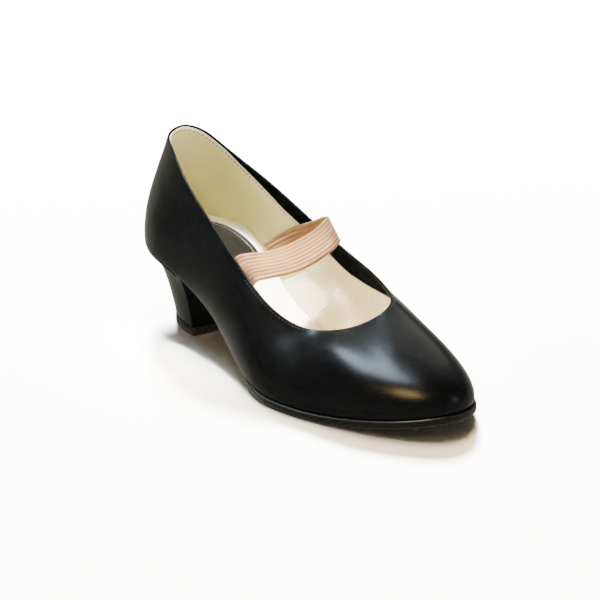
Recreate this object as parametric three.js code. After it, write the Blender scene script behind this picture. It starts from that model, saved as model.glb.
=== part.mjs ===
// A right flamenco shoe: a low-cut black leather pump on a covered block heel, with a doubled elastic strap.
// Millimetres. X runs from heel to toe, Y to the wearer's left (the medial side of this right shoe) and Z up.
// The origin is on the floor, under the middle of the shoe's bounding box.
import * as THREE from 'three';
import { mergeVertices } from 'three/addons/utils/BufferGeometryUtils.js';

// Driving sizes of the last
const LENGTH = 240; // feather edge, back of heel to tip of toe
const BALL_WIDTH = 84.6; // feather edge across the ball
const SEAT_HEIGHT = 40.3; // floor to the feather edge under the heel
const TOE_SPRING = 8.4; // lift of the toe tip above the ball
const BACK_HEIGHT = 52.4; // feather edge to topline at the back of the heel
const THROAT_HEIGHT = 40.8; // feather edge at the toe to the middle of the throat

// Walls and layers
const UPPER_WALL = 1.8; // leather and lining together
const SOLE_THICKNESS = 3.6; // forepart of the outsole
const WAIST_SOLE_THICKNESS = 1.6; // outsole under the waist and the heel seat
const SOLE_MARGIN = 1.5; // outsole beyond the feather edge at the forepart
const WAIST_MARGIN = -0.8; // the same at the waist and the heel seat, where it is tucked under
const EDGE_BEVEL = 0.6;
const INSOLE_THICKNESS = 2.2;
const FIT_GAP = 0.3; // between any two pieces that meet

// Heel: a D in plan with a flat breast, narrowing from the seat down to the top piece
const BREAST_FROM_BACK = 59;
const HEEL_INSET = 0.2; // top of the heel inside the outsole's edge
const HEEL_BASE_LENGTH = 34.5;
const HEEL_BASE_WIDTH = 41.4;
const HEEL_BASE_SHIFT = -0.5; // middle of the base to the lateral side
const HEEL_BACK_HOLLOW = 0.48; // how soon the back narrows below the seat: 1 would be a straight line
const HEEL_BREAST_HOLLOW = 0.53; // the same beside the breast
const BREAST_BEVEL = 1.2; // corner between breast and side
const TOP_PIECE_THICKNESS = 4.4;
const TOP_PIECE_LIP = 0.25; // top piece beyond the base of the heel

// Heel pad, the short sock under the heel of the foot
const PAD_THICKNESS = 0.8;
const PAD_LENGTH = 66;
const PAD_WIDTH = 39;
const PAD_FROM_BACK = 12;
const PAD_SHIFT = -1.5; // middle of the pad to the lateral side
const PAD_SQUARENESS = 2.4; // exponent of its outline: 2 would be an ellipse

// Elastic strap
const STRAP_THICKNESS = 1.1;
const STRAP_CORNER = 0.25;

// Where along the shoe the bottom changes, as shares of LENGTH
const SEAT_END = 0.12;
const WAIST_END = 0.5;
const BALL_START = 0.66;
const SPRING_START = 0.72;

// Mesh steps
const STEPS_PER_ROW = 5;
const WALL_STEPS = 12;
const HEEL_LEVELS = 9;
const HEEL_STEPS = 14; // from the back round to the breast, on each side
const PAD_STEPS = 48;
const STRAP_STEPS = 72;

// The sections of the last, in order round the feather edge from the back of the heel, along the lateral side
// to the toe and back along the medial side. along is a share of LENGTH and across of BALL_WIDTH, for the
// feather edge and then for the topline; heel and throat are shares of BACK_HEIGHT and THROAT_HEIGHT that the
// topline stands above the feather edge. Each section is a curve between the two: bellyOut (of BALL_WIDTH) and
// bellyUp (of the wall's height) are its handle at the feather edge, neckOut and neckDrop its handle at the topline.
const SECTION_COLUMNS = [
  'along', 'across', 'topAlong', 'topAcross', 'heel', 'throat', 'bellyOut', 'bellyUp', 'neckOut', 'neckDrop',
];
const SECTIONS = [
  [0.000, 0.036, 0.041, 0.005, 1.000, 0.000, 0.047, 0.36, 0.052, 0.34], // back of the heel
  [0.018, -0.132, 0.071, -0.101, 0.990, 0.000, 0.026, 0.36, 0.059, 0.34],
  [0.075, -0.274, 0.139, -0.201, 0.958, 0.000, 0.017, 0.36, 0.059, 0.36],
  [0.175, -0.388, 0.230, -0.271, 0.833, 0.000, 0.013, 0.38, 0.054, 0.36],
  [0.320, -0.373, 0.343, -0.306, 0.514, 0.311, 0.046, 0.38, 0.052, 0.34],
  [0.470, -0.438, 0.459, -0.338, 0.206, 0.673, 0.044, 0.38, 0.061, 0.30],
  [0.610, -0.528, 0.558, -0.345, 0.051, 0.807, 0.042, 0.42, 0.075, 0.28],
  [0.740, -0.483, 0.643, -0.282, 0.000, 0.790, 0.057, 0.50, 0.080, 0.28],
  [0.860, -0.345, 0.702, -0.158, 0.000, 0.805, 0.066, 0.58, 0.207, 0.09],
  [0.955, -0.165, 0.733, -0.034, 0.000, 0.889, 0.068, 0.618, 0.196, 0.103],
  [1.000, 0.069, 0.744, 0.082, 0.000, 1.000, 0.069, 0.601, 0.175, 0.116], // tip of the toe
  [0.955, 0.290, 0.727, 0.180, 0.000, 1.070, 0.058, 0.453, 0.119, 0.168],
  [0.860, 0.434, 0.684, 0.251, 0.000, 1.079, 0.040, 0.338, 0.101, 0.187],
  [0.740, 0.465, 0.617, 0.307, 0.000, 1.111, 0.042, 0.417, 0.103, 0.219],
  [0.610, 0.355, 0.524, 0.334, 0.064, 0.994, 0.073, 0.389, 0.091, 0.236],
  [0.470, 0.205, 0.409, 0.308, 0.279, 0.667, 0.122, 0.38, 0.084, 0.30],
  [0.320, 0.225, 0.284, 0.277, 0.541, 0.282, 0.102, 0.38, 0.065, 0.34],
  [0.175, 0.319, 0.157, 0.246, 0.788, 0.000, 0.064, 0.38, 0.053, 0.36],
  [0.075, 0.299, 0.068, 0.204, 0.922, 0.000, 0.050, 0.36, 0.052, 0.36],
  [0.018, 0.205, 0.033, 0.113, 0.987, 0.000, 0.047, 0.36, 0.054, 0.34],
];
const ROWS = SECTIONS.length;
const TOE_ROW = ROWS / 2;

// The strap's two edges: along is a share of LENGTH, across of BALL_WIDTH, and lift is the height above the
// feather edge there as a share of THROAT_HEIGHT. The strap is sewn inside the lateral wall, crosses over the
// instep, turns down inside the medial wall and ends at the insole.
const STRAP_COLUMNS = ['rearAlong', 'rearAcross', 'rearLift', 'frontAlong', 'frontAcross', 'frontLift'];
const STRAP_STATIONS = [
  [0.4188, -0.3463, 0.6650, 0.4938, -0.3712, 0.6723], // sewn end inside the lateral wall
  [0.4192, -0.3215, 0.7886, 0.4950, -0.3392, 0.7975],
  [0.4225, -0.2908, 0.9147, 0.4992, -0.3002, 0.9191], // clear of the lateral topline
  [0.4333, -0.2246, 0.9740, 0.5083, -0.2364, 0.9672],
  [0.4396, -0.1300, 0.9774, 0.5154, -0.1182, 0.9959],
  [0.4413, -0.0236, 0.9938, 0.5167, -0.0118, 1.0228],
  [0.4450, 0.0768, 1.0521, 0.5167, 0.0768, 1.0669],
  [0.4492, 0.1749, 1.1383, 0.5162, 0.1513, 1.1249],
  [0.4517, 0.2482, 1.2326, 0.5142, 0.2187, 1.1748],
  [0.4496, 0.2955, 1.2937, 0.5067, 0.2707, 1.2188], // top of the arch, over the medial topline
  [0.4350, 0.3026, 1.2356, 0.4917, 0.2837, 1.0992],
  [0.4033, 0.2624, 1.0468, 0.4554, 0.2884, 0.8348],
  [0.3467, 0.2790, 0.7441, 0.3983, 0.2671, 0.5045],
  [0.2917, 0.2624, 0.4056, 0.3508, 0.2175, 0.2350],
  [0.2500, 0.2435, 0.1363, 0.3367, 0.2009, 0.1481], // lower end at the insole
];

// Materials, one for each real material on the shoe
const blackLeather = new THREE.MeshStandardMaterial({ color: '#15171a', roughness: 0.38, metalness: 0 });
const soleBlack = new THREE.MeshStandardMaterial({ color: '#101113', roughness: 0.45, metalness: 0 });
const heelLeather = new THREE.MeshStandardMaterial({ color: '#16181a', roughness: 0.35, metalness: 0 });
const topPieceRubber = new THREE.MeshStandardMaterial({ color: '#121212', roughness: 0.7, metalness: 0 });
const whiteSock = new THREE.MeshStandardMaterial({ color: '#f0eee6', roughness: 0.6, metalness: 0 });
const padBlack = new THREE.MeshStandardMaterial({ color: '#1c1a1c', roughness: 0.5, metalness: 0 });
const beigeElastic = new THREE.MeshStandardMaterial({ color: '#e3c3a2', roughness: 0.8, metalness: 0 });

const up = new THREE.Vector3(0, 0, 1);

// Control values of a closed cubic B-spline that passes through the given values.
function splineControls(values) {
  let controls = [...values];
  const settleRounds = 60;
  for (let round = 0; round < settleRounds; round++) {
    controls = controls.map((_, i) => {
      const before = controls[(i + ROWS - 1) % ROWS];
      const after = controls[(i + 1) % ROWS];
      return (6 * values[i] - before - after) / 4;
    });
  }
  return controls;
}

const columnControls = Object.fromEntries(
  SECTION_COLUMNS.map((name, column) => [name, splineControls(SECTIONS.map((row) => row[column]))]),
);

// A column of the table at u rows round the shoe, smooth to the second derivative.
function column(name, u) {
  const controls = columnControls[name];
  const start = Math.floor(u);
  const t = u - start;
  const at = (step) => controls[(((start + step) % ROWS) + ROWS) % ROWS];
  const weights = [(1 - t) ** 3, 3 * t ** 3 - 6 * t ** 2 + 4, -3 * t ** 3 + 3 * t ** 2 + 3 * t + 1, t ** 3];
  return (weights[0] * at(-1) + weights[1] * at(0) + weights[2] * at(1) + weights[3] * at(2)) / 6;
}

// Height of the feather edge above the floor at x: level seat, cosine shank, level ball, toe spring.
function featherHeight(x) {
  const along = x / LENGTH;
  const shank = THREE.MathUtils.clamp((along - SEAT_END) / (BALL_START - SEAT_END), 0, 1);
  const rise = 0.5 + 0.5 * Math.cos(Math.PI * shank);
  const ballHeight = SOLE_THICKNESS + FIT_GAP;
  const spring = Math.max(0, (along - SPRING_START) / (1 - SPRING_START)) ** 2;
  return ballHeight + (SEAT_HEIGHT - ballHeight) * rise + TOE_SPRING * spring;
}

function featherPoint(u) {
  const x = column('along', u) * LENGTH;
  return new THREE.Vector3(x, column('across', u) * BALL_WIDTH, featherHeight(x));
}

// Level direction pointing out of the shoe at u.
function outward(u) {
  const step = 0.02;
  const along = featherPoint(u + step).sub(featherPoint(u - step)).setZ(0).normalize();
  return new THREE.Vector3(along.y, -along.x, 0);
}

function toplinePoint(u) {
  const x = column('topAlong', u) * LENGTH;
  const wall = column('heel', u) * BACK_HEIGHT + column('throat', u) * THROAT_HEIGHT;
  return new THREE.Vector3(x, column('topAcross', u) * BALL_WIDTH, featherHeight(x) + wall);
}

// A point of the upper's outside: u rows round the shoe, v from the feather edge (0) to the topline (1).
function upperPoint(u, v) {
  const foot = featherPoint(u);
  const top = toplinePoint(u);
  const wall = top.z - foot.z;
  const out = outward(u);
  const belly = foot.clone()
    .addScaledVector(out, column('bellyOut', u) * BALL_WIDTH)
    .addScaledVector(up, column('bellyUp', u) * wall);
  const neck = top.clone()
    .addScaledVector(out, column('neckOut', u) * BALL_WIDTH)
    .addScaledVector(up, -column('neckDrop', u) * wall);
  return new THREE.CubicBezierCurve3(foot, belly, neck, top).getPoint(v);
}

// The upper's surface moved inwards by depth, square to the leather but level at the feather edge.
function upperPointAt(u, v, depth) {
  const step = 0.01;
  const low = Math.max(0, v - step);
  const high = Math.min(1, v + step);
  const round = upperPoint(u + step, v).sub(upperPoint(u - step, v));
  const rising = upperPoint(u, high).sub(upperPoint(u, low));
  const normal = round.cross(rising).normalize();
  const levelUpTo = 0.1;
  normal.lerp(outward(u), Math.max(0, 1 - v / levelUpTo)).normalize();
  return upperPoint(u, v).addScaledVector(normal, -depth);
}

function geometryOf(positions, index) {
  const geometry = new THREE.BufferGeometry();
  geometry.setAttribute('position', new THREE.Float32BufferAttribute(positions, 3));
  geometry.setIndex(index);
  return mergeVertices(geometry, 1e-4);
}

// Faces between neighbouring rings of points, all with the same count.
function sidesOf(rings, closed) {
  const count = rings[0].length;
  const index = [];
  const last = closed ? rings.length : rings.length - 1;
  for (let r = 0; r < last; r++) {
    const here = r * count;
    const next = ((r + 1) % rings.length) * count;
    for (let i = 0; i < count; i++) {
      const j = (i + 1) % count;
      index.push(here + i, here + j, next + j, here + i, next + j, next + i);
    }
  }
  return index;
}

// Faces across a ring whose points i and count - i lie opposite each other, seen from above.
function capOf(offset, count, facesUp) {
  const index = [];
  for (let i = 0; i < count / 2; i++) {
    const corners = [i, i + 1, count - i - 1, (count - i) % count];
    const triangles = [[corners[0], corners[1], corners[2]], [corners[0], corners[2], corners[3]]];
    for (const triangle of triangles) {
      if (new Set(triangle).size < 3) continue;
      const order = facesUp ? triangle : [...triangle].reverse();
      index.push(...order.map((corner) => corner + offset));
    }
  }
  return index;
}

const flatten = (rings) => rings.flatMap((ring) => ring.flatMap((point) => point.toArray()));

// A solid from rings stacked from the bottom up, flat across at both ends.
function stackedSolid(rings) {
  const count = rings[0].length;
  const bottom = capOf(0, count, false);
  const top = capOf((rings.length - 1) * count, count, true);
  return geometryOf(flatten(rings), [...sidesOf(rings, false), ...bottom, ...top]);
}

const roundSteps = Array.from({ length: ROWS * STEPS_PER_ROW }, (_, i) => i / STEPS_PER_ROW);

function makeUpper() {
  const heights = Array.from({ length: WALL_STEPS + 1 }, (_, i) => i / WALL_STEPS);
  const outside = heights.map((v) => roundSteps.map((u) => upperPointAt(u, v, 0)));
  const inside = heights.map((v) => roundSteps.map((u) => upperPointAt(u, v, UPPER_WALL)));
  const rings = [...outside, ...inside.reverse()];
  return new THREE.Mesh(geometryOf(flatten(rings), sidesOf(rings, true)), blackLeather);
}

// Share of the way from waist to forepart at x.
function forepartShare(x) {
  return THREE.MathUtils.smoothstep(x / LENGTH, WAIST_END, BALL_START);
}
const soleThickness = (x) => THREE.MathUtils.lerp(WAIST_SOLE_THICKNESS, SOLE_THICKNESS, forepartShare(x));
const soleMargin = (x) => THREE.MathUtils.lerp(WAIST_MARGIN, SOLE_MARGIN, forepartShare(x));
const soleTop = (x) => featherHeight(x) - FIT_GAP;
const soleBottom = (x) => soleTop(x) - soleThickness(x);

// The feather edge moved outwards by distance, at the height that heightAt gives there.
function outlineRing(distance, heightAt) {
  return roundSteps.map((u) => {
    const point = featherPoint(u);
    const x = point.x;
    point.addScaledVector(outward(u), typeof distance === 'function' ? distance(x) : distance);
    return point.setZ(heightAt(x));
  });
}

function makeOutsole() {
  return new THREE.Mesh(stackedSolid([
    outlineRing((x) => soleMargin(x) - EDGE_BEVEL, (x) => soleBottom(x)),
    outlineRing(soleMargin, (x) => soleBottom(x) + EDGE_BEVEL),
    outlineRing(soleMargin, (x) => soleTop(x) - EDGE_BEVEL),
    outlineRing((x) => soleMargin(x) - EDGE_BEVEL, (x) => soleTop(x)),
  ]), soleBlack);
}

const insoleTop = (x) => featherHeight(x) + INSOLE_THICKNESS;

function makeInsole() {
  const inset = -(UPPER_WALL + FIT_GAP);
  return new THREE.Mesh(stackedSolid([
    outlineRing(inset, featherHeight),
    outlineRing(inset, (x) => insoleTop(x) - EDGE_BEVEL),
    outlineRing(inset - EDGE_BEVEL, insoleTop),
  ]), whiteSock);
}

function makeHeelPad() {
  const power = 2 / PAD_SQUARENESS;
  const rounded = (value) => Math.sign(value) * Math.abs(value) ** power;
  const middle = PAD_FROM_BACK + PAD_LENGTH / 2;
  const ring = (inset, lift) => Array.from({ length: PAD_STEPS }, (_, i) => {
    const angle = (2 * Math.PI * i) / PAD_STEPS;
    const x = middle - (PAD_LENGTH / 2 - inset) * rounded(Math.cos(angle));
    const y = PAD_SHIFT - (PAD_WIDTH / 2 - inset) * rounded(Math.sin(angle));
    return new THREE.Vector3(x, y, insoleTop(x) + FIT_GAP + lift);
  });
  const bevel = PAD_THICKNESS / 2;
  return new THREE.Mesh(stackedSolid([
    ring(0, 0),
    ring(0, PAD_THICKNESS - bevel),
    ring(bevel, PAD_THICKNESS),
  ]), padBlack);
}

// Half of a D, from the middle of its back to its flat front: angle 0 to a quarter turn. side is -1 or 1.
function baseOutline(angle, side, grow) {
  const x = BREAST_FROM_BACK - (HEEL_BASE_LENGTH + grow) * Math.cos(angle) + grow * Math.sin(angle);
  const y = HEEL_BASE_SHIFT + side * (HEEL_BASE_WIDTH / 2 + grow) * Math.sin(angle);
  return new THREE.Vector3(x, y, 0);
}

// The same for the heel seat, along the outsole's edge.
function seatOutline(angle, side) {
  const back = HEEL_INSET - WAIST_MARGIN;
  const x = BREAST_FROM_BACK - (BREAST_FROM_BACK - back) * Math.cos(angle);
  const edgeAt = (u) => featherPoint(u).addScaledVector(outward(u), WAIST_MARGIN - HEEL_INSET);
  let low = 0;
  let high = TOE_ROW;
  const halvings = 30;
  for (let i = 0; i < halvings; i++) {
    const middle = (low + high) / 2;
    if (edgeAt(side < 0 ? middle : ROWS - middle).x < x) low = middle;
    else high = middle;
  }
  return edgeAt(side < 0 ? low : ROWS - low).setX(x);
}

// One level of the heel: drop is 0 at the seat and 1 at the top piece.
function heelRing(drop) {
  const quarter = Math.PI / 2;
  const half = (side) => Array.from({ length: HEEL_STEPS + 1 }, (_, i) => {
    const angle = (quarter * i) / HEEL_STEPS;
    const seat = seatOutline(angle, side);
    const hollow = THREE.MathUtils.lerp(HEEL_BACK_HOLLOW, HEEL_BREAST_HOLLOW, i / HEEL_STEPS);
    const point = seat.clone().lerp(baseOutline(angle, side, 0), drop ** hollow);
    const top = soleBottom(seat.x) - FIT_GAP;
    return point.setZ(THREE.MathUtils.lerp(top, TOP_PIECE_THICKNESS + FIT_GAP, drop));
  });
  const lateral = half(-1);
  const medial = half(1);
  const bevelled = (side) => {
    const corner = side[HEEL_STEPS];
    const inner = corner.clone();
    inner.y -= Math.sign(corner.y) * BREAST_BEVEL;
    side[HEEL_STEPS].x -= BREAST_BEVEL;
    return [...side, inner];
  };
  return [...bevelled(lateral), ...bevelled(medial).reverse().slice(0, -1)];
}

function makeHeel() {
  const drops = Array.from({ length: HEEL_LEVELS + 1 }, (_, i) => (i / HEEL_LEVELS) ** 1.6);
  return new THREE.Mesh(stackedSolid(drops.reverse().map(heelRing)), heelLeather);
}

function makeTopPiece() {
  const quarter = Math.PI / 2;
  const ring = (grow, z) => {
    const half = (side) => Array.from({ length: HEEL_STEPS + 1 }, (_, i) => (
      baseOutline((quarter * i) / HEEL_STEPS, side, grow).setZ(z)
    ));
    return [...half(-1), ...half(1).reverse().slice(0, -1)];
  };
  return new THREE.Mesh(stackedSolid([
    ring(TOP_PIECE_LIP - EDGE_BEVEL, 0),
    ring(TOP_PIECE_LIP, EDGE_BEVEL),
    ring(TOP_PIECE_LIP, TOP_PIECE_THICKNESS),
  ]), topPieceRubber);
}

function makeStrap() {
  const edge = (names) => {
    const points = STRAP_STATIONS.map((row) => {
      const [along, across, lift] = names.map((name) => row[STRAP_COLUMNS.indexOf(name)]);
      const x = along * LENGTH;
      return new THREE.Vector3(x, across * BALL_WIDTH, featherHeight(x) + lift * THROAT_HEIGHT);
    });
    return new THREE.CatmullRomCurve3(points, false, 'centripetal');
  };
  const rear = edge(['rearAlong', 'rearAcross', 'rearLift']);
  const front = edge(['frontAlong', 'frontAcross', 'frontLift']);
  const half = STRAP_THICKNESS / 2;
  const rings = Array.from({ length: STRAP_STEPS + 1 }, (_, i) => {
    const t = i / STRAP_STEPS;
    const a = rear.getPoint(t);
    const b = front.getPoint(t);
    const along = rear.getTangent(t).add(front.getTangent(t)).normalize();
    const across = b.clone().sub(a).normalize();
    const face = along.clone().cross(across).normalize();
    const corner = (side, inward, height) => side.clone()
      .addScaledVector(across, inward * STRAP_CORNER)
      .addScaledVector(face, height);
    const low = half - STRAP_CORNER;
    return [
      corner(a, 1, half), corner(a, 0, low), corner(a, 0, -low), corner(a, 1, -half),
      corner(b, -1, -half), corner(b, 0, -low), corner(b, 0, low), corner(b, -1, half),
    ];
  });
  const count = rings[0].length;
  const fan = (offset, flipped) => Array.from({ length: count - 2 }, (_, i) => {
    const triangle = [offset, offset + i + 1, offset + i + 2];
    return flipped ? triangle.reverse() : triangle;
  }).flat();
  const index = [...sidesOf(rings, false), ...fan(0, true), ...fan((rings.length - 1) * count, false)];
  return new THREE.Mesh(geometryOf(flatten(rings), index), beigeElastic);
}

const shoe = new THREE.Group();
function add(name, mesh) {
  mesh.name = name;
  shoe.add(mesh);
}
add('upper', makeUpper());
add('outsole', makeOutsole());
add('insole', makeInsole());
add('heel_pad', makeHeelPad());
add('heel', makeHeel());
add('heel_top_piece', makeTopPiece());
add('elastic_strap', makeStrap());

const box = new THREE.Box3().setFromObject(shoe);
const middle = box.getCenter(new THREE.Vector3());
shoe.children.forEach((piece) => piece.geometry.translate(-middle.x, -middle.y, -box.min.z));

export default shoe;
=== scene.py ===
import math

import bmesh
import bpy
import numpy as np
from bpy.props import FloatProperty, IntProperty, PointerProperty, StringProperty
from mathutils import Matrix, Vector


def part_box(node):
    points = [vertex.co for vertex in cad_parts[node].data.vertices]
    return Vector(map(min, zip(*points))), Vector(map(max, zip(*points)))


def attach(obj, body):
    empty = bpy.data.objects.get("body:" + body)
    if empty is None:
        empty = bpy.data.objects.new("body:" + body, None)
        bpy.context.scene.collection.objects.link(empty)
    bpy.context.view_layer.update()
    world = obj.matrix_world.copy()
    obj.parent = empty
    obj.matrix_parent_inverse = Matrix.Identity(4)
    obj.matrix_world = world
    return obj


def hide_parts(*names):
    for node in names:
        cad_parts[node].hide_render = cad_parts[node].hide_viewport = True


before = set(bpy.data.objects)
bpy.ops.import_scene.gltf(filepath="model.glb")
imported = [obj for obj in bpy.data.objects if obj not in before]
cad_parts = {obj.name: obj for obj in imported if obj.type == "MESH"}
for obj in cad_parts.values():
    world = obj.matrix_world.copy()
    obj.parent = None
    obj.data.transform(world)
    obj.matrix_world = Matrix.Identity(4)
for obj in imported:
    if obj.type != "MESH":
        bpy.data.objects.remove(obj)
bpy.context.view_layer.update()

bl_info = {
    "name": "Flamenco shoe",
    "version": (1, 0, 0),
    "blender": (4, 5, 0),
    "location": "3D View > Sidebar > Shoe",
    "description": "Builds a black leather flamenco shoe with a doubled elastic strap round its packed frame",
    "category": "Object",
}

MM = 0.001

# The sections of the last, in order round the feather edge from the back of the heel, along the lateral side
# to the toe and back along the medial side, as shares of the last's sizes.
SECTION_COLUMNS = (
    "along", "across", "top_along", "top_across", "heel", "throat",
    "belly_out", "belly_up", "neck_out", "neck_drop",
)
SECTIONS = (
    (0.000, 0.036, 0.041, 0.005, 1.000, 0.000, 0.047, 0.36, 0.052, 0.34),
    (0.018, -0.132, 0.071, -0.101, 0.990, 0.000, 0.026, 0.36, 0.059, 0.34),
    (0.075, -0.274, 0.139, -0.201, 0.958, 0.000, 0.017, 0.36, 0.059, 0.36),
    (0.175, -0.388, 0.230, -0.271, 0.833, 0.000, 0.013, 0.38, 0.054, 0.36),
    (0.320, -0.373, 0.343, -0.306, 0.514, 0.311, 0.046, 0.38, 0.052, 0.34),
    (0.470, -0.438, 0.459, -0.338, 0.206, 0.673, 0.044, 0.38, 0.061, 0.30),
    (0.610, -0.528, 0.558, -0.345, 0.051, 0.807, 0.042, 0.42, 0.075, 0.28),
    (0.740, -0.483, 0.643, -0.282, 0.000, 0.790, 0.057, 0.50, 0.080, 0.28),
    (0.860, -0.345, 0.702, -0.158, 0.000, 0.805, 0.066, 0.58, 0.207, 0.09),
    (0.955, -0.165, 0.733, -0.034, 0.000, 0.889, 0.068, 0.618, 0.196, 0.103),
    (1.000, 0.069, 0.744, 0.082, 0.000, 1.000, 0.069, 0.601, 0.175, 0.116),
    (0.955, 0.290, 0.727, 0.180, 0.000, 1.070, 0.058, 0.453, 0.119, 0.168),
    (0.860, 0.434, 0.684, 0.251, 0.000, 1.079, 0.040, 0.338, 0.101, 0.187),
    (0.740, 0.465, 0.617, 0.307, 0.000, 1.111, 0.042, 0.417, 0.103, 0.219),
    (0.610, 0.355, 0.524, 0.334, 0.064, 0.994, 0.073, 0.389, 0.091, 0.236),
    (0.470, 0.205, 0.409, 0.308, 0.279, 0.667, 0.122, 0.38, 0.084, 0.30),
    (0.320, 0.225, 0.284, 0.277, 0.541, 0.282, 0.102, 0.38, 0.065, 0.34),
    (0.175, 0.319, 0.157, 0.246, 0.788, 0.000, 0.064, 0.38, 0.053, 0.36),
    (0.075, 0.299, 0.068, 0.204, 0.922, 0.000, 0.050, 0.36, 0.052, 0.36),
    (0.018, 0.205, 0.033, 0.113, 0.987, 0.000, 0.047, 0.36, 0.054, 0.34),
)
ROWS = len(SECTIONS)
TOE_ROW = ROWS // 2

# The strap's two edges from its sewn lateral end to its lower medial end: shares of the length, of the ball's
# width, and of the throat's height above the feather edge.
STRAP_STATIONS = (
    (0.4188, -0.3463, 0.6650, 0.4938, -0.3712, 0.6723),
    (0.4192, -0.3215, 0.7886, 0.4950, -0.3392, 0.7975),
    (0.4225, -0.2908, 0.9147, 0.4992, -0.3002, 0.9191),
    (0.4333, -0.2246, 0.9740, 0.5083, -0.2364, 0.9672),
    (0.4396, -0.1300, 0.9774, 0.5154, -0.1182, 0.9959),
    (0.4413, -0.0236, 0.9938, 0.5167, -0.0118, 1.0228),
    (0.4450, 0.0768, 1.0521, 0.5167, 0.0768, 1.0669),
    (0.4492, 0.1749, 1.1383, 0.5162, 0.1513, 1.1249),
    (0.4517, 0.2482, 1.2326, 0.5142, 0.2187, 1.1748),
    (0.4496, 0.2955, 1.2937, 0.5067, 0.2707, 1.2188),
    (0.4350, 0.3026, 1.2356, 0.4917, 0.2837, 1.0992),
    (0.4033, 0.2624, 1.0468, 0.4554, 0.2884, 0.8348),
    (0.3467, 0.2790, 0.7441, 0.3983, 0.2671, 0.5045),
    (0.2917, 0.2624, 0.4056, 0.3508, 0.2175, 0.2350),
    (0.2500, 0.2435, 0.1363, 0.3367, 0.2009, 0.1481),
)

# Where along the shoe the bottom changes, as shares of its length.
SEAT_END, WAIST_END, BALL_START, SPRING_START = 0.12, 0.5, 0.66, 0.72

# How far below the topline the lining ends, in millimetres, at rows round the shoe.
FACING_ROWS = (
    0, 2.6, 4.2, 7.0, 8.6, 9.6, 10.8, 11.3, 11.7, 12.1,
    12.6, 13.2, 14.4, 14.8, 15.2, 16.0, 16.4, 16.8, 17.3, 20,
)
FACING_WIDTHS = (
    0.7, 0.9, 6.0, 6.2, 3.0, 1.0, 0.6, 1.2, 5.0, 10.0,
    14.0, 16.0, 15.0, 12.7, 11.5, 10.5, 7.5, 4.0, 1.0, 0.7,
)

# The quarter lining's face lies this far in from the vamp lining's, so that its front edges show.
QUARTER_LIFT = 0.15 * MM

# Soft creases of the leather: row round the shoe, share of the wall, spread along and up in millimetres,
# height in millimetres, and slant in degrees.
CREASES = (
    (6.3, 0.62, 26, 5.0, -0.35, 24),
    (6.9, 0.42, 22, 4.5, 0.30, 30),
    (4.3, 0.55, 30, 7.0, -0.25, -12),
    (2.6, 0.30, 16, 5.0, 0.25, 8),
    (13.2, 0.60, 24, 5.0, -0.35, -24),
    (14.6, 0.45, 26, 6.0, 0.28, -10),
    (9.2, 0.50, 14, 7.0, 0.22, 60),
)

# The lights: name, rays that don't see it, direction, distance, size, colour and direction of the long side.
# Those that glossy rays don't see light the floor and the inside of the shoe. Those that diffuse rays don't
# see are cards that show only as highlights on the leather.
LIGHTS = (
    ("back", "visible_glossy", (-0.67, 0.39, 0.63), 3.0, (0.6, 0.6), (0.95, 0.98, 1.0), (0, 0, 1)),
    ("warm", "visible_glossy", (-0.35, 0.25, 0.90), 3.0, (0.5, 0.5), (1.0, 0.74, 0.34), (0, 0, 1)),
    ("top", "visible_glossy", (-0.2, 0.15, 0.97), 3.0, (1.35, 1.35), (1.0, 0.76, 0.42), (0, 0, 1)),
    ("inner", "visible_glossy", (-0.08, 0.0, 1.0), 1.5, (0.1, 0.1), (1.0, 0.97, 0.88), (0, 0, 1)),
    (
        "strip", "visible_diffuse", (-0.26, -0.18, 0.95), 1.6, (1.15, 0.32), (0.72, 0.88, 1.0),
        (0.9, -0.44, 0.16),
    ),
    ("lamp", "visible_diffuse", (0.38, -0.58, 0.72), 1.6, (0.60, 0.36), (1.0, 0.76, 0.30), (0.85, -0.52, 0)),
    ("toe", "visible_diffuse", (0.8, 0.52, 0.28), 1.6, (0.5, 0.3), (1.0, 0.98, 0.92), (0, 0, 1)),
    ("sky", "visible_diffuse", (-0.45, 0.5, 0.72), 1.6, (1.2, 1.2), (1.0, 1.0, 0.82), (0, 0, 1)),
)


def smoothstep(value, low, high):
    share = np.clip((value - low) / (high - low), 0, 1)
    return share * share * (3 - 2 * share)


def unit(vectors):
    return vectors / np.maximum(np.linalg.norm(vectors, axis=-1, keepdims=True), 1e-12)


def walked_along(path):
    """Distance walked along a path at each of its points."""
    return np.concatenate([[0], np.linalg.norm(np.diff(path, axis=0), axis=-1).cumsum()])


def at_distances(places, walked, path):
    """Points of a path at some distances walked along it."""
    return np.stack([np.interp(places, walked, path[:, axis]) for axis in range(3)], axis=-1)


def closed_spline_controls(values):
    """Control values of a closed cubic B-spline that passes through the given values."""
    count = len(values)
    system = (4 * np.eye(count) + np.roll(np.eye(count), 1, 1) + np.roll(np.eye(count), -1, 1)) / 6
    return np.linalg.solve(system, values)


COLUMN_CONTROLS = dict(zip(SECTION_COLUMNS, closed_spline_controls(np.array(SECTIONS)).T))


def column(name, u):
    """A column of the sections at u rows round the shoe."""
    controls = COLUMN_CONTROLS[name]
    start = np.floor(u).astype(int)
    t = u - start
    before, here, after, beyond = (controls[(start + step) % ROWS] for step in (-1, 0, 1, 2))
    return (
        (1 - t) ** 3 * before
        + (3 * t**3 - 6 * t**2 + 4) * here
        + (-3 * t**3 + 3 * t**2 + 3 * t + 1) * after
        + t**3 * beyond
    ) / 6


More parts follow.
